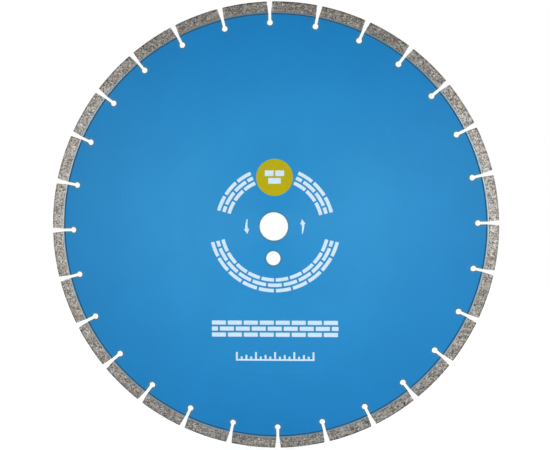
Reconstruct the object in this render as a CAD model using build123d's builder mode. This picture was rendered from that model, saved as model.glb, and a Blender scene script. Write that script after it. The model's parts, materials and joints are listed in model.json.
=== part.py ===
from build123d import *
import os
from math import asin, degrees, isclose

# Laser-welded diamond blade for concrete: a painted steel core with a keyhole slot between
# every two segments, and one sintered diamond segment welded to each tongue of the rim.
#
# Frame: millimetres, +Z up. The blade stands upright in the XZ plane and spins about Y.
# The origin is the centre of the arbor bore, halfway through the core's thickness.
# The printed face looks towards -Y. Angles run anticlockwise as seen on that face, from +X.

# Driving dimensions
blade_diameter = 400.0
core_thickness = 2.8
bore_diameter = 25.4
pin_hole_diameter = 12.7
pin_hole_offset = 28.575
edge_break = 0.2

segment_count = 28
segment_height = 10.0
segment_length = 40.0
segment_thickness = 3.6
foot_height = 1.0
foot_thickness = 3.4

slot_width = 2.5
slot_hole_diameter = 5.0
slot_hole_distance = 181.5
first_slot_angle = 92.0

weld_width = 1.4
weld_height = 0.26
weld_bulge = 0.1

tension_ring_radius = 134.0
tension_ring_width = 1.6
tension_ring_floor = 0.8
tension_ring_depth = 0.05

# Sizes that follow from them
blade_radius = blade_diameter / 2
core_radius = blade_radius - segment_height
foot_radius = core_radius + foot_height
core_face = core_thickness / 2
pitch = 360 / segment_count
first_segment_angle = first_slot_angle + pitch / 2
weld_arc = 2 * degrees(asin(segment_length / 2 / core_radius))

os.makedirs("parts", exist_ok=True)


def save(part, name):
    part.label = name
    export_step(part, f"parts/{name}.step")


def rim_piece(angle, inner_radius, outer_radius, thickness):
    """A piece of the rim, centred on the angle: arcs inside and outside, and parallel ends."""
    with BuildPart() as piece:
        with BuildSketch(Plane.XZ.rotated((0, -angle, 0))):
            Circle(outer_radius)
            Circle(inner_radius, mode=Mode.SUBTRACT)
            with Locations((outer_radius, 0)):
                Rectangle(segment_length, segment_length, mode=Mode.INTERSECT)
        extrude(amount=thickness / 2, both=True)
    return piece.part


def weld_seams(side):
    """One bead for each segment, in the step between the core's face and the segment's foot."""
    with BuildPart() as seams:
        for number in range(segment_count):
            start_angle = first_segment_angle + number * pitch - weld_arc / 2
            # The section lies in a plane through the Y axis: local X is the radius, local Y is Y.
            with BuildSketch(Plane.XY.rotated((0, -start_angle, 0))):
                with BuildLine():
                    toe = (core_radius - weld_width, side * core_face)
                    root = (core_radius, side * core_face)
                    crown = (core_radius, side * (core_face + weld_height))
                    Polyline(toe, root, crown)
                    SagittaArc(crown, toe, -side * weld_bulge)
                make_face()
            revolve(axis=Axis.Y, revolution_arc=-weld_arc)
    return seams.part


# Steel core: a thin disc with the arbor bore, the drive pin hole and the keyhole slots
with BuildPart() as core:
    with BuildSketch(Plane.XZ):
        Circle(core_radius)
        Circle(bore_diameter / 2, mode=Mode.SUBTRACT)
        with Locations((0, -pin_hole_offset)):
            Circle(pin_hole_diameter / 2, mode=Mode.SUBTRACT)
        with PolarLocations(slot_hole_distance, segment_count, start_angle=first_slot_angle):
            Circle(slot_hole_diameter / 2, mode=Mode.SUBTRACT)
        with PolarLocations(core_radius, segment_count, start_angle=first_slot_angle):
            Rectangle(2 * (core_radius - slot_hole_distance), slot_width, mode=Mode.SUBTRACT)
    extrude(amount=core_face, both=True)

    # Every edge of the two faces is deburred, apart from the rim's, which take the welds.
    rim_edges = core.edges().filter_by(GeomType.CIRCLE)
    rim_edges = rim_edges.filter_by(lambda edge: isclose(edge.radius, core_radius))
    face_edges = core.faces().filter_by(Axis.Y).edges()
    chamfer([edge for edge in face_edges if edge not in rim_edges], edge_break)

    # The rolled tension ring is a shallow groove with sloping sides, in each face.
    with BuildSketch(Plane.XY):
        with BuildLine():
            Polyline(
                (tension_ring_radius - tension_ring_width / 2, core_face),
                (tension_ring_radius - tension_ring_floor / 2, core_face - tension_ring_depth),
                (tension_ring_radius + tension_ring_floor / 2, core_face - tension_ring_depth),
                (tension_ring_radius + tension_ring_width / 2, core_face),
                close=True,
            )
        make_face()
        mirror(about=Plane.XZ)
    revolve(axis=Axis.Y, mode=Mode.SUBTRACT)
save(core.part, "steel_core")

# Sintered rim pieces: a diamond-free foot that takes the weld, and the diamond segment on it
for number in range(segment_count):
    angle = first_segment_angle + number * pitch
    foot = rim_piece(angle, core_radius, foot_radius, foot_thickness)
    segment = rim_piece(angle, foot_radius, blade_radius, segment_thickness)
    save(foot, f"segment_foot_{number + 1:02d}")
    save(segment, f"diamond_segment_{number + 1:02d}")

# Laser weld beads along both sides of every foot
save(weld_seams(-1), "weld_seams_front")
save(weld_seams(1), "weld_seams_back")
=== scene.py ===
import json
import math

import bpy
import numpy as np
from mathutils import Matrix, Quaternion, Vector, noise


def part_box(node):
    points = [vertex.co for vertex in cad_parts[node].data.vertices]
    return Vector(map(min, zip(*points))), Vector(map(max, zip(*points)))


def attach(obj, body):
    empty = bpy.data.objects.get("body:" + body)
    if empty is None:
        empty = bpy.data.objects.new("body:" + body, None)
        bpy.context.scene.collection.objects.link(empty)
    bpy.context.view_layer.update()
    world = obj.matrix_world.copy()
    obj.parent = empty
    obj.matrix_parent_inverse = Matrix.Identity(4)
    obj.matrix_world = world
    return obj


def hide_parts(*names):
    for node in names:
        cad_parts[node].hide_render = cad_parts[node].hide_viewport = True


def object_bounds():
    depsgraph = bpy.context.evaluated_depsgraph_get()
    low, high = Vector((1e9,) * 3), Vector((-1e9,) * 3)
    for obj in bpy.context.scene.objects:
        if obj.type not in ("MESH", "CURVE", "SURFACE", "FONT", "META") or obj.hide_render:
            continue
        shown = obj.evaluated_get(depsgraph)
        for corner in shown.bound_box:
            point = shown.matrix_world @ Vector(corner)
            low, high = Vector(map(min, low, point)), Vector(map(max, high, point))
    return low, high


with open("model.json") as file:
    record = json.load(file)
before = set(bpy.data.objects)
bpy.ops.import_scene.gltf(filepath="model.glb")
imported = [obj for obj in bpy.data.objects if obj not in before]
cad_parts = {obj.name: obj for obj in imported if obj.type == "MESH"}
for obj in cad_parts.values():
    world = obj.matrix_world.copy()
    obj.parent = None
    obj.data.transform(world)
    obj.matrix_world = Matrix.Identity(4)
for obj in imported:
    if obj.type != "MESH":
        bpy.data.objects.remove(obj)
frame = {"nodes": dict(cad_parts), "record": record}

# Looks of a laser-welded diamond blade: painted core, ground segments, weld beads and print.
# Metres, in the CAD frame: the blade stands in the XZ plane, spins about Y, and its printed
# face looks towards -Y. Angles run anticlockwise as seen on that face, from +X.

MM = 0.001

# Sizes that the CAD model gives
cad_low, cad_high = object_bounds()
core_low, core_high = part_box("steel_core")
mounts = {mount["name"]: mount for mount in frame["record"]["mounts"]}
blade_radius = cad_high.z
core_radius = core_high.z
front_face = core_low.y
back_face = core_high.y
bore_radius = mounts["arbor_bore"]["dims"]["r_mm"] * MM
pin_hole_radius = mounts["drive_pin_hole"]["dims"]["r_mm"] * MM
pin_hole_z = mounts["drive_pin_hole"]["pos_m"][2]

# Sizes of the slots in the core's rim, as the part's source has them
SLOT_WIDTH = 2.5 * MM
SLOT_HOLE_RADIUS = 2.5 * MM
SLOT_HOLE_DISTANCE = 181.5 * MM


def nodes_named(prefix):
    """The CAD nodes of one kind, in order."""
    return [frame["nodes"][name] for name in sorted(frame["nodes"]) if name.startswith(prefix)]


# ---------------------------------------------------------------- materials

class Shader:
    """A material's node tree, with a short call for each kind of node used here."""

    def __init__(self, name):
        self.material = bpy.data.materials.new(name)
        self.material.use_nodes = True
        self.tree = self.material.node_tree
        self.surface = self.tree.nodes["Principled BSDF"]
        self.place = self.add("ShaderNodeTexCoord").outputs["Object"]

    def add(self, kind, inputs=None, **settings):
        """A new node. Each input takes a number or colour, or a link from another node."""
        node = self.tree.nodes.new(kind)
        for key, value in settings.items():
            setattr(node, key, value)
        for key, value in (inputs or {}).items():
            self.set(node.inputs[key], value)
        return node

    def set(self, socket, value):
        """Links the value to the socket if it is another node's output, or else writes it there."""
        if isinstance(value, bpy.types.NodeSocket):
            self.tree.links.new(value, socket)
        else:
            socket.default_value = value

    def math(self, operation, a, b=0.0):
        return self.add("ShaderNodeMath", {0: a, 1: b}, operation=operation).outputs[0]

    def vector(self, operation, a, b=None, scale=None):
        node = self.add("ShaderNodeVectorMath", {0: a}, operation=operation)
        if b is not None:
            self.set(node.inputs[1], b)
        if scale is not None:
            self.set(node.inputs["Scale"], scale)
        return node.outputs["Value" if operation == "LENGTH" else "Vector"]

    def combine(self, x, y, z):
        return self.add("ShaderNodeCombineXYZ", {"X": x, "Y": y, "Z": z}).outputs[0]

    def separate(self, vector):
        return self.add("ShaderNodeSeparateXYZ", {0: vector}).outputs

    def noise(self, size, detail=2.0, place=None):
        """Cloudy noise from 0 to 1 whose features are about that size, in metres."""
        inputs = {"Vector": place or self.place, "Scale": 1 / size, "Detail": detail}
        return self.add("ShaderNodeTexNoise", inputs).outputs["Fac"]

    def grains(self, size, place=None):
        """A random value from 0 to 1 for each grain of about that size, in metres."""
        inputs = {"Vector": place or self.place, "Scale": 1 / size}
        colour = self.add("ShaderNodeTexVoronoi", inputs).outputs["Color"]
        return self.separate(colour)[0]

    def spots(self, size, reach, place=None):
        """1 in the middle of each grain, falling to 0 at that share of its size."""
        inputs = {"Vector": place or self.place, "Scale": 1 / size}
        distance = self.add("ShaderNodeTexVoronoi", inputs).outputs["Distance"]
        return self.range(distance, 0.0, reach, 1.0, 0.0)

    def range(self, value, low, high, to_low=0.0, to_high=1.0):
        """The value carried over from the range low to high to another one, and held inside it."""
        inputs = {"Value": value, "From Min": low, "From Max": high, "To Min": to_low, "To Max": to_high}
        return self.add("ShaderNodeMapRange", inputs, clamp=True).outputs[0]

    def ramp(self, value, *stops):
        """A colour ramp through (position, colour) stops."""
        node = self.add("ShaderNodeValToRGB", {0: value})
        elements = node.color_ramp.elements
        while len(elements) < len(stops):
            elements.new(0.5)
        for element, (position, colour) in zip(elements, stops):
            element.position = position
            element.color = (*colour, 1.0)
        return node.outputs["Color"]

    def mix(self, factor, a, b, blend="MIX"):
        """Colour a, mixed with colour b by that factor."""
        node = self.add("ShaderNodeMix", data_type="RGBA", blend_type=blend)
        self.set(node.inputs[0], factor)
        for socket, value in ((node.inputs[6], a), (node.inputs[7], b)):
            self.set(socket, (*value, 1.0) if isinstance(value, tuple) else value)
        return node.outputs[2]

    def tint(self, colour, factor):
        """The colour times a number."""
        grey = self.combine(factor, factor, factor)
        return self.mix(1.0, colour, grey, "MULTIPLY")

    def bump(self, height, depth, normal=None):
        """A normal for relief of that depth, in metres, on top of another normal."""
        inputs = {"Height": height, "Distance": depth}
        if normal is not None:
            inputs["Normal"] = normal
        return self.add("ShaderNodeBump", inputs).outputs[0]

    def shaken(self, size, reach):
        """The place, moved about by up to that reach with features of about that size."""
        inputs = {"Vector": self.place, "Scale": 1 / size, "Detail": 2.0}
        colour = self.add("ShaderNodeTexNoise", inputs).outputs["Color"]
        offset = self.vector("SUBTRACT", colour, (0.5, 0.5, 0.5))
        return self.vector("ADD", self.place, self.vector("SCALE", offset, scale=2 * reach))

    def radius(self):
        """Distance from the blade's axis."""
        x, _, z = self.separate(self.place)
        return self.vector("LENGTH", self.combine(x, 0.0, z))

    def turned_place(self, across, along):
        """A place for noise drawn out along circles round the axis: features about
        `across` wide from the axis outwards and `along` long round it, in metres."""
        around = self.vector("SCALE", self.outward(), scale=blade_radius / along)
        reach = self.math("DIVIDE", self.radius(), across)
        side = self.math("DIVIDE", self.separate(self.place)[1], across)
        return self.vector("ADD", around, self.combine(0.0, self.math("ADD", reach, side), 0.0))

    def outward(self):
        """The direction straight away from the blade's axis."""
        x, _, z = self.separate(self.place)
        return self.vector("NORMALIZE", self.combine(x, 0.0, z))

    def ground_round(self, amount):
        """Fine grinding marks run round the axis, so highlights spread outwards from it."""
        self.surface.inputs["Anisotropic"].default_value = amount
        self.set(self.surface.inputs["Tangent"], self.outward())

    def finish(self, colour, roughness, normal, metallic=0.0, specular=0.5):
        """The finished material, from what drives its main sockets."""
        self.set(self.surface.inputs["Base Color"], colour)
        self.set(self.surface.inputs["Roughness"], roughness)
        self.set(self.surface.inputs["Normal"], normal)
        self.set(self.surface.inputs["Metallic"], metallic)
        self.surface.inputs["Specular IOR Level"].default_value = specular
        return self.material


def distance_to_cuts(s):
    """How far a place on the core is from the nearest hole or slot, in metres."""
    x, _, z = s.separate(s.place)
    radius = s.radius()
    bore = s.math("SUBTRACT", radius, bore_radius)
    beside_pin = s.vector("LENGTH", s.combine(x, 0.0, s.math("SUBTRACT", z, pin_hole_z)))
    pin_hole = s.math("SUBTRACT", beside_pin, pin_hole_radius)

    # All slots fall on one: the angle is taken from the nearest slot's middle line.
    feet = nodes_named("segment_foot_")
    pitch = 2 * math.pi / len(feet)
    foot_outward = measured(feet[0])[0]
    first_slot = math.atan2(foot_outward[2], foot_outward[0]) - pitch / 2
    turns = s.math("DIVIDE", s.math("SUBTRACT", s.math("ARCTAN2", z, x), first_slot), pitch)
    swing = s.math("MULTIPLY", s.math("SUBTRACT", turns, s.math("ROUND", turns)), pitch)
    aside = s.math("ABSOLUTE", s.math("MULTIPLY", radius, s.math("SINE", swing)))
    beyond = s.math("SUBTRACT", s.math("MULTIPLY", radius, s.math("COSINE", swing)), SLOT_HOLE_DISTANCE)
    slot_hole = s.math("SUBTRACT", s.vector("LENGTH", s.combine(aside, beyond, 0.0)), SLOT_HOLE_RADIUS)
    inside = s.math("MAXIMUM", s.math("MULTIPLY", beyond, -1.0), 0.0)
    slot = s.math("SUBTRACT", s.vector("LENGTH", s.combine(aside, inside, 0.0)), SLOT_WIDTH / 2)

    nearest = s.math("MINIMUM", bore, pin_hole)
    nearest = s.math("MINIMUM", nearest, slot_hole)
    return s.math("MINIMUM", nearest, slot)


def core_paint():
    """Thin blue enamel over a ground disc, with a painted sheen that lightens it towards the middle, and
    bare steel on the walls of the cuts.
    """
    cloud_size, speckle_size = 45 * MM, 1.5 * MM
    mark_width, mark_length, mark_depth = 0.9 * MM, 30 * MM, 0.006 * MM
    peel_size, peel_depth, gloss_size = 1.1 * MM, 0.008 * MM, 6 * MM
    dark_band_width = 2.6 * MM
    dark_band_blue = (0.050, 0.190, 0.290)
    shine_tint = (0.40, 0.88, 0.75, 1.0)
    cut_marks_per_metre = (4000.0, 300.0, 4000.0)

    s = Shader("core_paint")
    # Painted sheen: the blue is lighter over the middle of the disc and darker towards the rim.
    blue_with_painted_sheen = s.ramp(
        s.math("DIVIDE", s.radius(), blade_radius),
        (0.06, (0.0185, 0.243, 0.560)),
        (0.45, (0.0190, 0.246, 0.558)),
        (0.72, (0.0120, 0.211, 0.516)),
        (0.93, (0.0075, 0.186, 0.474)),
    )
    speckle = s.noise(speckle_size, detail=3)
    marks = s.noise(1.0, detail=4, place=s.turned_place(mark_width, mark_length))
    clouding = s.range(s.noise(cloud_size, detail=3), 0.3, 0.7, 0.97, 1.03)
    speckling = s.range(speckle, 0.2, 0.8, 0.95, 1.05)
    marking = s.range(marks, 0.2, 0.8, 0.97, 1.03)
    shade = s.math("MULTIPLY", s.math("MULTIPLY", clouding, speckling), marking)
    paint = s.tint(blue_with_painted_sheen, shade)

    # A band of darker, mottled blue round every cut, fading out away from its edge.
    edge = s.range(distance_to_cuts(s), 0.0, dark_band_width, 1.0, 0.0)
    dark_band = s.math("MULTIPLY", edge, s.range(speckle, 0.2, 0.8, 0.70, 0.90))
    paint = s.mix(dark_band, paint, dark_band_blue)

    # The walls of the bore, the pin hole and the slots look away from both faces.
    normal = s.add("ShaderNodeNewGeometry").outputs["True Normal"]
    facing = s.math("ABSOLUTE", s.separate(normal)[1])
    wall = s.range(facing, 0.85, 0.35)
    cut_marks = s.noise(1.0, detail=3, place=s.vector("MULTIPLY", s.place, cut_marks_per_metre))
    steel = s.ramp(cut_marks, (0.25, (0.12, 0.12, 0.13)), (0.75, (0.32, 0.32, 0.34)))
    colour = s.mix(wall, paint, steel)

    gloss = s.range(s.noise(gloss_size, detail=3), 0.3, 0.7, 0.48, 0.54)
    roughness = s.mix(wall, s.combine(gloss, gloss, gloss), (0.38, 0.38, 0.38))
    peel = s.bump(s.noise(peel_size, detail=2), peel_depth)
    ground = s.bump(marks, mark_depth, normal=peel)
    s.ground_round(0.6)
    s.surface.inputs["Specular Tint"].default_value = shine_tint
    return s.finish(colour, roughness, ground, metallic=s.math("MULTIPLY", wall, 0.4))


def diamond_matrix():
    """Sintered metal with pores, rust-brown stains and pale diamond grit, ground round the rim."""
    grain_size, fine_size, pit_size, pore_size = 1.15 * MM, 0.55 * MM, 1.5 * MM, 0.8 * MM
    rust_size, stain_size = 1.6 * MM, 6 * MM
    streak_width, streak_length = 0.5 * MM, 9 * MM
    relief = 0.02 * MM
    rust_brown, stain_brown = (0.500, 0.280, 0.150), (0.430, 0.340, 0.250)
    painted_hole_shade, crystal_yellow = (0.010, 0.010, 0.012), (0.640, 0.640, 0.480)

    s = Shader("diamond_matrix")
    ragged = s.shaken(0.7 * MM, 0.35 * MM)
    coarse = s.grains(grain_size, place=ragged)
    fine = s.grains(fine_size, place=ragged)
    blend = s.math("ADD", s.math("MULTIPLY", coarse, 0.65), s.math("MULTIPLY", fine, 0.35))
    metal = s.ramp(
        blend,
        (0.05, (0.048, 0.046, 0.045)),
        (0.30, (0.207, 0.196, 0.183)),
        (0.55, (0.360, 0.342, 0.314)),
        (0.80, (0.540, 0.520, 0.474)),
        (0.97, (0.900, 0.885, 0.825)),
    )

    # Rust-brown grains, a wider stain, and streaks left by grinding
    rusty = s.range(s.grains(rust_size, place=ragged), 0.72, 0.74)
    rust = s.math("MULTIPLY", rusty, s.spots(rust_size, 0.6, place=ragged))
    metal = s.mix(s.math("MULTIPLY", rust, 0.85), metal, rust_brown)
    stain = s.range(s.noise(stain_size, detail=4), 0.50, 0.72, 0.0, 0.35)
    metal = s.mix(stain, metal, stain_brown)
    streak = s.noise(1.0, detail=4, place=s.turned_place(streak_width, streak_length))
    metal = s.tint(metal, s.range(streak, 0.25, 0.75, 0.84, 1.14))

    # Round pits and finer pores, painted near black as the shade inside them, and pale diamond crystals
    pitted = s.range(s.grains(pit_size, place=ragged), 0.52, 0.54)
    pit = s.math("MULTIPLY", pitted, s.spots(pit_size, 0.55, place=ragged))
    pore = s.range(s.noise(pore_size, detail=2), 0.34, 0.25)
    hole = s.math("MAXIMUM", s.range(pit, 0.2, 0.6), pore)
    # Painted shade: the pits and pores are filled with near black.
    metal = s.mix(hole, metal, painted_hole_shade)
    crystal = s.math("MULTIPLY", s.range(s.grains(fine_size), 0.93, 0.95), s.spots(fine_size, 0.5))
    metal = s.mix(crystal, metal, crystal_yellow)

    # Painted shade: darker over the outermost 1.8 mm towards the cutting edge, where the rounded arris
    # faces darker surroundings.
    painted_arris_shade = s.range(s.radius(), blade_radius - 1.8 * MM, blade_radius - 0.2 * MM, 1.0, 0.45)
    metal = s.tint(metal, painted_arris_shade)

    roughness = s.range(streak, 0.2, 0.8, 0.36, 0.50)
    height = s.math("SUBTRACT", s.math("ADD", blend, crystal), hole)
    normal = s.bump(height, relief)
    normal = s.bump(streak, relief, normal=normal)
    s.ground_round(0.85)
    metallic = s.range(crystal, 0.0, 1.0, 0.50, 0.0)
    return s.finish(metal, roughness, normal, metallic=metallic)


def foot_metal():
    """The grit-free foot of a segment: dense sintered metal, ground to a fine finish."""
    streak_width, streak_length, streak_depth = 0.25 * MM, 14 * MM, 0.01 * MM
    grain_size, tint_size = 0.5 * MM, 7 * MM
    heat_blue = (0.150, 0.240, 0.330)

    s = Shader("foot_metal")
    streak = s.noise(1.0, detail=5, place=s.turned_place(streak_width, streak_length))
    grain = s.noise(grain_size, detail=2)
    metal = s.ramp(
        s.math("ADD", s.math("MULTIPLY", streak, 0.7), s.math("MULTIPLY", grain, 0.3)),
        (0.30, (0.250, 0.345, 0.395)),
        (0.50, (0.340, 0.445, 0.505)),
        (0.70, (0.450, 0.565, 0.620)),
    )
    blued = s.range(s.noise(tint_size, detail=3), 0.5, 0.75, 0.0, 0.5)
    metal = s.mix(blued, metal, heat_blue)
    s.ground_round(0.8)
    normal = s.bump(streak, streak_depth)
    return s.finish(metal, s.range(grain, 0.2, 0.8, 0.34, 0.46), normal, metallic=0.75)


def weld_metal():
    """A laser weld bead: dark scaled steel with straw and blue heat tints, darkened further as painted
    shade of the step where the thicker segment foot begins.
    """
    scale_size, scale_depth, tint_size = 0.6 * MM, 0.04 * MM, 4 * MM
    crown_from, crown_to = core_radius - 0.6 * MM, core_radius - 0.1 * MM
    scale_grey, crown_blue = (0.070, 0.085, 0.100), (0.150, 0.300, 0.420)

    s = Shader("weld_metal")
    scale = s.noise(scale_size, detail=4)
    heat = s.noise(tint_size, detail=3)
    # Partly painted shade: the dark navy tints stand for the bead's heat scale and also for the shadow of
    # the step at the segment's foot.
    tint = s.ramp(
        heat,
        (0.30, (0.007, 0.056, 0.118)),
        (0.50, (0.011, 0.062, 0.120)),
        (0.70, (0.026, 0.060, 0.084)),
    )
    metal = s.mix(s.range(scale, 0.50, 0.80), tint, scale_grey)
    crown = s.range(s.radius(), crown_from, crown_to, 0.0, 0.8)
    metal = s.mix(crown, metal, crown_blue)
    normal = s.bump(scale, scale_depth)
    return s.finish(metal, s.range(scale, 0.2, 0.8, 0.62, 0.46), normal, metallic=0.4, specular=0.3)


def ink(name, colour, shade, specular):
    """Screen printed ink: slightly uneven cover, pinholes of the paint and a fine mesh texture."""
    cover_size, mesh_size, pinhole_size, relief = 3 * MM, 0.45 * MM, 0.9 * MM, 0.01 * MM
    paint_below = (0.10, 0.32, 0.62)

    s = Shader(name)
    cover = s.noise(cover_size, detail=4)
    mesh = s.noise(mesh_size, detail=2)
    body = s.mix(s.range(cover, 0.35, 0.75), colour, shade)
    thin = s.range(s.noise(pinhole_size, detail=2), 0.33, 0.24, 0.0, 0.35)
    body = s.mix(thin, body, paint_below)
    normal = s.bump(s.math("ADD", mesh, s.math("MULTIPLY", cover, 0.5)), relief)
    return s.finish(body, s.range(mesh, 0.2, 0.8, 0.48, 0.60), normal, specular=specular)


# ---------------------------------------------------------------- pieces

def mesh_piece(name, points, faces, material, replaced=None):
    """A mesh object in the CAD frame that rides on the blade."""
    mesh = bpy.data.meshes.new(name)
    mesh.from_pydata(points, [], faces)
    mesh.validate()
    mesh.update()
    mesh.materials.append(material)
    piece = bpy.data.objects.new(name, mesh)
    bpy.context.scene.collection.objects.link(piece)
    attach(piece, "root")
    if replaced:
        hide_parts(replaced)
    return piece


def box_lattice(counts):
    """The surface of a box divided into counts cells each way: its lattice points and quads."""
    index = {}
    quads = []

    def corner(point):
        return index.setdefault(point, len(index))

    for axis in range(3):
        first, second = (axis + 1) % 3, (axis + 2) % 3
        for end in (0, counts[axis]):
            for i in range(counts[first]):
                for j in range(counts[second]):
                    quad = []
                    for di, dj in ((0, 0), (1, 0), (1, 1), (0, 1)):
                        point = [0, 0, 0]
                        point[axis] = end
                        point[first] = i + di
                        point[second] = j + dj
                        quad.append(corner(tuple(point)))
                    quads.append(quad if end else quad[::-1])
    return np.array(list(index), float), quads


def measured(node):
    """A rim node's own sizes: the directions outwards through its middle and onwards round the
    rim, then its half length, inner radius, outer radius and half thickness."""
    points = np.array([vertex.co for vertex in node.data.vertices])
    middle = points.mean(axis=0)
    angle = math.atan2(middle[2], middle[0])
    outward = np.array([math.cos(angle), 0.0, math.sin(angle)])
    onward = np.array([-math.sin(angle), 0.0, math.cos(angle)])
    radii = np.hypot(points[:, 0], points[:, 2])
    half_length = np.abs(points @ onward).max()
    return outward, onward, half_length, radii.min(), radii.max(), np.abs(points[:, 1]).max()


def toe_radius(node):
    """The smallest radius that a node reaches."""
    return min(math.hypot(vertex.co.x, vertex.co.z) for vertex in node.data.vertices)


GRIT_STEP = 0.45 * MM       # between the lattice points of a segment's surface
ARRIS = 0.22 * MM
GRIT_SIZE = 0.85 * MM
GRIT_REACH = 0.55           # of a grain's size
GRIT_RISE = 0.03 * MM
GRIT_ABOVE = 0.62           # grains with a higher chance stick up
PORE_DEPTH = 0.12 * MM
PORE_BELOW = 0.20           # grains with a lower chance have dropped out
CHANCE_SPREAD = 7.3         # so that neighbouring grains draw different chances
WAVE_SIZE = 2.2 * MM
GROUND_WAVE = 0.012 * MM


def grit_height(point):
    """How far the worn surface stands out at a point: grit that sticks up, pores and waves."""
    cell = Vector(point) / GRIT_SIZE
    distances, centres = noise.voronoi(cell)
    chance = noise.cell(centres[0] * CHANCE_SPREAD)
    middle = max(0.0, 1.0 - distances[0] / GRIT_REACH)
    wave = noise.noise(Vector(point) / WAVE_SIZE)
    height = GROUND_WAVE * wave
    if chance > GRIT_ABOVE:
        height += GRIT_RISE * middle
    elif chance < PORE_BELOW:
        height -= PORE_DEPTH * middle
    return height


def diamond_segment(node, lattice, counts, quads, material):
    """A diamond segment with worn arrises and a gritty, porous surface. It is shaped lying flat,
    as (along its length, radius, thickness), and then bent round the rim."""
    outward, onward, half_length, inner, outer, half_thickness = measured(node)
    low = np.array([-half_length, inner, -half_thickness])
    high = np.array([half_length, outer, half_thickness])
    flat = low + (high - low) * lattice / np.array(counts)
    core = np.clip(flat, low + ARRIS, high - ARRIS)
    away = flat - core
    away /= np.linalg.norm(away, axis=1)[:, None]
    worn = core + away * ARRIS
    points = []
    for place, normal in zip(worn, away):
        # The surface stays smooth where it sits on the foot. Adding outward looks each segment's
        # grit up at another place, so no two segments are alike.
        seat = min(1.0, (place[1] - inner) / ARRIS)
        place = place + normal * grit_height(tuple(place + outward)) * seat
        length, radius, thickness = place
        reach = math.sqrt(radius ** 2 - length ** 2)
        points.append(outward * reach + onward * length + np.array([0.0, thickness, 0.0]))
    name = node.name.replace("diamond_segment", "ground_segment")
    return mesh_piece(name, points, quads, material, node.name)


def diamond_segments(material):
    """All diamond segments, each in the place of its CAD node."""
    cad_segments = nodes_named("diamond_segment_")
    _, _, half_length, inner, outer, half_thickness = measured(cad_segments[0])
    spans = (2 * half_length, outer - inner, 2 * half_thickness)
    counts = [round(span / GRIT_STEP) for span in spans]
    lattice, quads = box_lattice(counts)
    for node in cad_segments:
        piece = diamond_segment(node, lattice, counts, quads, material)
        piece.data.shade_smooth()


RIPPLE = 1.0 * MM           # from one ripple of a bead to the next
RIPPLE_STEPS = 4
RIPPLE_LAG = 0.5            # how far a ripple's edges trail its middle, of a ripple
RIPPLE_SHARE = 0.20         # of the bead's rise
END_SHARE = 0.4             # of the bead's rise that is left at its two ends
END_LENGTH = RIPPLE / 2     # over which the bead falls off towards each end
BEAD_STEPS = 5
TOE_WANDER = 0.06           # of the bead's width
WANDERS_ROUND = 90          # noise features per radian


def bead_section(angle, travel, inner, width, crown_rise, end_taper, side):
    """The section of a bead at an angle, from its toe to its crown and down to its root. travel
    counts the ripples up to here."""
    face = side * core_high.y
    wander = noise.noise(Vector((math.cos(angle), side, math.sin(angle))) * WANDERS_ROUND)
    section = []
    for j in range(BEAD_STEPS + 1):
        across = j / BEAD_STEPS
        phase = travel - RIPPLE_LAG * (2 * across - 1) ** 2
        ripple = 0.5 + 0.5 * math.cos(2 * math.pi * phase)
        radius = inner - width * (1 - across) * (1 + TOE_WANDER * wander)
        swell = math.sin(across * math.pi / 2)
        swell *= 1 - RIPPLE_SHARE + RIPPLE_SHARE * ripple
        swell *= END_SHARE + (1 - END_SHARE) * end_taper
        surface = face + side * crown_rise * swell
        section.append((radius * math.cos(angle), surface, radius * math.sin(angle)))
    section.append((inner * math.cos(angle), face, inner * math.sin(angle)))
    return section


def weld_beads(side, material):
    """The beads of one face: each is a low fillet with the ripples that a moving weld leaves."""
    name = "weld_seams_front" if side < 0 else "weld_seams_back"
    low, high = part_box(name)
    crown_rise = high.y - low.y
    width = core_radius - toe_radius(frame["nodes"][name])
    points = []
    faces = []
    for foot in nodes_named("segment_foot_"):
        outward, _, half_length, inner, _, _ = measured(foot)
        middle_angle = math.atan2(outward[2], outward[0])
        half_arc = math.asin(half_length / inner)
        steps = round(2 * half_length / RIPPLE) * RIPPLE_STEPS
        start = len(points)
        for i in range(steps + 1):
            along = i / steps
            angle = middle_angle + half_arc * (2 * along - 1)
            from_end = 2 * half_length * min(along, 1 - along)
            end_taper = min(1.0, from_end / END_LENGTH)
            points += bead_section(angle, i / RIPPLE_STEPS, inner, width, crown_rise, end_taper, side)
        row = BEAD_STEPS + 2
        for i in range(steps):
            for j in range(row):
                a = start + i * row + j
                b = start + i * row + (j + 1) % row
                quad = [a, b, b + row, a + row]
                faces.append(quad if side < 0 else quad[::-1])
        first = [start + j for j in range(row)]
        last = [start + steps * row + j for j in range(row)]
        faces.append(first if side > 0 else first[::-1])
        faces.append(last[::-1] if side > 0 else last)
    return mesh_piece(name.replace("seams", "beads"), points, faces, material, name)


# ---------------------------------------------------------------- print
# The print is generic: brickwork bands, a roundel, a ruler and two arrows of rotation.

INK_THICKNESS = 0.04 * MM
CORNER = 0.5 * MM           # how far a brick's corner is cut back
EDGE_SPLIT = 2.2            # a corner takes at most its edge's length divided by this
CORNER_STEPS = 3
JOINT = 1.7 * MM            # between bricks
COURSES = 3
PRINT_TURN = math.radians(1.1)
PRINT_SHIFT = 0.8 * MM


def outline_piece(name, outlines, face, side, material):
    """Flat closed ink shapes on one face of the core. Outlines run anticlockwise in (x, z)."""
    points = []
    faces = []
    for outline in outlines:
        start = len(points)
        count = len(outline)
        for lift in (0.0, INK_THICKNESS):
            points += [(x, face + side * lift, z) for x, z in outline]
        under = [start + i for i in range(count)]
        over = [start + count + i for i in range(count)]
        faces.append(under if side > 0 else under[::-1])
        faces.append(over[::-1] if side > 0 else over)
        for i in range(count):
            j = (i + 1) % count
            wall = [under[i], over[i], over[j], under[j]]
            faces.append(wall if side > 0 else wall[::-1])
    return mesh_piece(name, points, faces, material)


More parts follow.
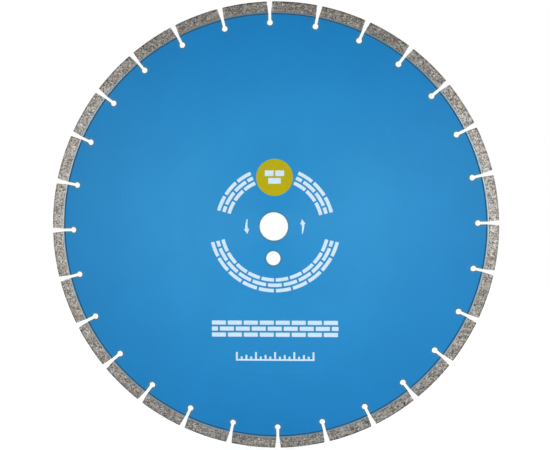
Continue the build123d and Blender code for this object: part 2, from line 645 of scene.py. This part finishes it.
def rounded(corners):
    """A polygon with its corners cut round."""
    outline = []
    count = len(corners)
    for i, corner in enumerate(corners):
        here = Vector(corner)
        before = Vector(corners[i - 1]) - here
        after = Vector(corners[(i + 1) % count]) - here
        reach = min(CORNER, before.length / EDGE_SPLIT, after.length / EDGE_SPLIT)
        start = here + before.normalized() * reach
        end = here + after.normalized() * reach
        for step in range(CORNER_STEPS + 1):
            t = step / CORNER_STEPS
            outline.append((1 - t) ** 2 * start + 2 * t * (1 - t) * here + t ** 2 * end)
    return [tuple(point) for point in outline]


def brickwork(length, height, brick):
    """Bricks in running bond, as (left, right, bottom, top), from 0 to length and height."""
    bricks = []
    course_height = (height - JOINT * (COURSES - 1)) / COURSES
    for course in range(COURSES):
        bottom = course * (course_height + JOINT)
        left = -(course % 2) * (brick + JOINT) / 2
        while left < length - JOINT:
            right = min(left + brick, length)
            if right > JOINT:
                bricks.append((max(left, 0.0), right, bottom, bottom + course_height))
            left += brick + JOINT
    return bricks


def arc_brickwork(start, end, inner, height, bricks):
    """Brickwork bent round the bore, from one angle to another in degrees, with that number of
    bricks to a course."""
    middle = inner + height / 2
    length = math.radians(end - start) * middle
    brick = (length + JOINT) / bricks - JOINT
    steps = 4
    outlines = []
    for left, right, bottom, top in brickwork(length, height, brick):
        low_angle = math.radians(start) + left / middle
        high_angle = math.radians(start) + right / middle
        angles = [low_angle + (high_angle - low_angle) * i / steps for i in range(steps + 1)]
        corners = [polar(inner + top, angle) for angle in angles]
        corners += [polar(inner + bottom, angle) for angle in reversed(angles)]
        outlines.append(rounded(corners))
    return outlines


def polar(radius, angle):
    """The point (x, z) at that radius and angle."""
    return (radius * math.cos(angle), radius * math.sin(angle))


def rectangle(left, right, bottom, top):
    return [(left, bottom), (right, bottom), (right, top), (left, top)]


def moved(outline, x, z):
    """The outline, moved by x and z."""
    return [(px + x, pz + z) for px, pz in outline]


def turned(outlines):
    """The outlines where the print lies on the blade: turned and shifted a little."""
    cos, sin = math.cos(PRINT_TURN), math.sin(PRINT_TURN)
    placed = []
    for outline in outlines:
        placed.append([
            ((x + PRINT_SHIFT) * cos - z * sin, (x + PRINT_SHIFT) * sin + z * cos)
            for x, z in outline
        ])
    return placed


def arrow(middle):
    """A tapered arrow bent anticlockwise round the bore, with its middle at that angle in degrees."""
    radius = 25.4 * MM
    half_sweep = 15.0
    head_share = 0.34
    tail_width = 0.8 * MM
    neck_width = 2.6 * MM
    head_width = 5.0 * MM
    steps = 8
    neck = 2 * half_sweep * (1 - head_share) - half_sweep
    outside = []
    inside = []
    for i in range(steps + 1):
        share = i / steps
        angle = math.radians(middle - half_sweep + (neck + half_sweep) * share)
        half_width = (tail_width + (neck_width - tail_width) * share) / 2
        outside.append(polar(radius + half_width, angle))
        inside.append(polar(radius - half_width, angle))
    neck_angle = math.radians(middle + neck)
    tip_angle = math.radians(middle + half_sweep)
    head = [
        polar(radius + head_width / 2, neck_angle),
        polar(radius, tip_angle),
        polar(radius - head_width / 2, neck_angle),
    ]
    return outside + head + inside[::-1]


def ruler():
    """A baseline with long and short ticks standing on it."""
    length, base, bottom = 70.8 * MM, 1.5 * MM, -121.0 * MM
    ticks = 17
    tick_width = 1.7 * MM
    long_tick, middle_tick, short_tick = 7.9 * MM, 5.2 * MM, 3.8 * MM
    shapes = [rectangle(-length / 2, length / 2, bottom, bottom + base)]
    for i in range(ticks):
        left = -length / 2 + (length - tick_width) * i / (ticks - 1)
        tick_height = long_tick if i % 4 == 0 else middle_tick if i % 2 == 0 else short_tick
        shapes.append(rectangle(left, left + tick_width, bottom + base, bottom + tick_height))
    return shapes


def rotation_arrows(face_name, face, side, white):
    """Two arrows, one each side of the bore, that follow the blade's working direction."""
    outlines = turned([arrow(180.0), arrow(0.0)])
    outline_piece(f"print_arrows_{face_name}", outlines, face, side, white)


def front_print(white, yellow):
    """The printed face: brickwork arches and a lintel, a roundel, a ruler and two arrows."""
    side, face = -1, front_face
    arch_height = 12.8 * MM
    upper, lower = 41.0 * MM, 46.4 * MM
    arches = (
        # name, start and end in degrees, inner radius, bricks to a course
        ("print_arch_left", 114, 164, upper, 3),
        ("print_arch_right", 14, 66, upper, 3),
        ("print_arch_lower", 194, 346, lower, 10),
    )
    for name, start, end, inner, bricks in arches:
        outlines = arc_brickwork(start, end, inner, arch_height, bricks)
        outline_piece(name, turned(outlines), face, side, white)

    lintel_length, lintel_height, lintel_bottom = 114 * MM, 14.6 * MM, -99.3 * MM
    brick_length = 12.7 * MM
    lintel = brickwork(lintel_length, lintel_height, brick_length)
    outlines = [moved(rounded(rectangle(*brick)), -lintel_length / 2, lintel_bottom) for brick in lintel]
    outline_piece("print_lintel", turned(outlines), face, side, white)

    roundel_radius, roundel_middle = 16.5 * MM, 44 * MM
    roundel = [polar(roundel_radius, math.radians(angle)) for angle in range(0, 360, 5)]
    outlines = turned([moved(roundel, 0.0, roundel_middle)])
    outline_piece("print_roundel", outlines, face, side, yellow)
    # Two bricks on one, as (left, right, bottom, top) in millimetres
    stack = ((-8.6, -0.8, 45.2, 50.2), (0.8, 8.6, 45.2, 50.2), (-5.6, 5.6, 38.4, 43.4))
    outlines = [rounded(rectangle(*(edge * MM for edge in brick))) for brick in stack]
    on_yellow = face - INK_THICKNESS
    outline_piece("print_roundel_bricks", turned(outlines), on_yellow, side, white)

    outline_piece("print_ruler", turned(ruler()), face, side, white)
    rotation_arrows("front", face, side, white)


def dress(node, material):
    """A CAD node that is kept as it is, in that material."""
    node.data.materials.clear()
    node.data.materials.append(material)


def build_pieces():
    """Every visible piece of the blade, with its material."""
    paint = core_paint()
    dress(frame["nodes"]["steel_core"], paint)
    foot = foot_metal()
    for node in nodes_named("segment_foot_"):
        dress(node, foot)
    diamond_segments(diamond_matrix())
    weld = weld_metal()
    weld_beads(-1, weld)
    weld_beads(1, weld)
    white = ink("white_print", colour=(0.62, 0.77, 0.89), shade=(0.55, 0.71, 0.84), specular=0.35)
    yellow = ink("yellow_print", colour=(0.46, 0.395, 0.002), shade=(0.43, 0.365, 0.001), specular=0.12)
    front_print(white, yellow)
    rotation_arrows("back", back_face, 1, white)


# ---------------------------------------------------------------- stage

def camera():
    """A long lens a metre away, a little to the right of the axis and above it."""
    distance, lens = 1.0, 73.0
    azimuth, elevation, roll = (math.radians(angle) for angle in (3.0, 2.85, 0.9))
    aim = Vector((1.0 * MM, 0.0, 1.35 * MM))
    data = bpy.data.cameras.new("camera")
    data.sensor_width = 36.0
    data.lens = lens
    eye = bpy.data.objects.new("camera", data)
    eye.location = distance * Vector((
        math.sin(azimuth) * math.cos(elevation),
        -math.cos(azimuth) * math.cos(elevation),
        math.sin(elevation),
    ))
    level = (aim - eye.location).to_track_quat("-Z", "Y")
    eye.rotation_mode = "QUATERNION"
    eye.rotation_quaternion = level @ Quaternion((0.0, 0.0, 1.0), roll)
    bpy.context.scene.collection.objects.link(eye)
    bpy.context.scene.camera = eye


def soft_light(name, place, size, power):
    """A softbox that looks at the blade and doesn't show in the picture."""
    data = bpy.data.lights.new(name, "AREA")
    data.shape = "RECTANGLE"
    data.size, data.size_y = size
    data.energy = power
    lamp = bpy.data.objects.new(name, data)
    lamp.location = place
    lamp.rotation_euler = (-Vector(place)).to_track_quat("-Z", "Y").to_euler()
    lamp.visible_camera = False
    bpy.context.scene.collection.objects.link(lamp)


def shine(tree, onto_blade, in_picture):
    """The strength of a pale surround: weaker as light on the blade than where the picture shows it."""
    strength = tree.nodes.new("ShaderNodeMapRange")
    strength.inputs["To Min"].default_value = onto_blade
    strength.inputs["To Max"].default_value = in_picture
    seen = tree.nodes.new("ShaderNodeLightPath").outputs["Is Camera Ray"]
    tree.links.new(seen, strength.inputs["Value"])
    return strength.outputs[0]


def lights():
    """The same two softboxes over each face, the one at +X stronger, and pale air all round."""
    aside, before, above = 1.00, 1.20, 0.22
    size = (0.6, 1.0)
    left_power, right_power = 9.6, 14.3
    for side, face in ((-1, "front"), (1, "back")):
        soft_light(f"left_{face}", (-aside, before * side, above), size, left_power)
        soft_light(f"right_{face}", (aside, before * side, above), size, right_power)
    world = bpy.data.worlds.new("pale_air")
    world.use_nodes = True
    background = world.node_tree.nodes["Background"]
    strength = shine(world.node_tree, onto_blade=0.145, in_picture=1.0)
    world.node_tree.links.new(strength, background.inputs["Strength"])
    background.inputs["Color"].default_value = (1.0, 1.0, 1.0, 1.0)
    bpy.context.scene.world = world


def floor():
    """A plain pale floor that the rim just touches, and that fades into the pale air further off."""
    half = 3.0
    fade_from, fade_to = 0.5, 1.6
    tone_size, relief_size, relief = 60 * MM, 4 * MM, 0.05 * MM
    height = cad_low.z
    corners = [(-half, -half, height), (half, -half, height), (half, half, height), (-half, half, height)]
    mesh = bpy.data.meshes.new("floor")
    mesh.from_pydata(corners, [], [(0, 1, 2, 3)])
    s = Shader("floor")
    tone = s.ramp(s.noise(tone_size, detail=4), (0.3, (0.78, 0.78, 0.78)), (0.7, (0.82, 0.82, 0.82)))
    normal = s.bump(s.noise(relief_size, detail=3), relief)
    s.surface.inputs["Emission Color"].default_value = (1.0, 1.0, 1.0, 1.0)
    s.set(s.surface.inputs["Emission Strength"], shine(s.tree, onto_blade=0.36, in_picture=0.66))
    cover = s.range(s.vector("LENGTH", s.place), fade_from, fade_to, 1.0, 0.0)
    s.set(s.surface.inputs["Alpha"], cover)
    mesh.materials.append(s.finish(tone, 0.7, normal, specular=0.2))
    plane = bpy.data.objects.new("floor", mesh)
    bpy.context.scene.collection.objects.link(plane)


build_pieces()
bpy.context.scene.view_settings.view_transform = "Standard"
floor()
lights()
camera()
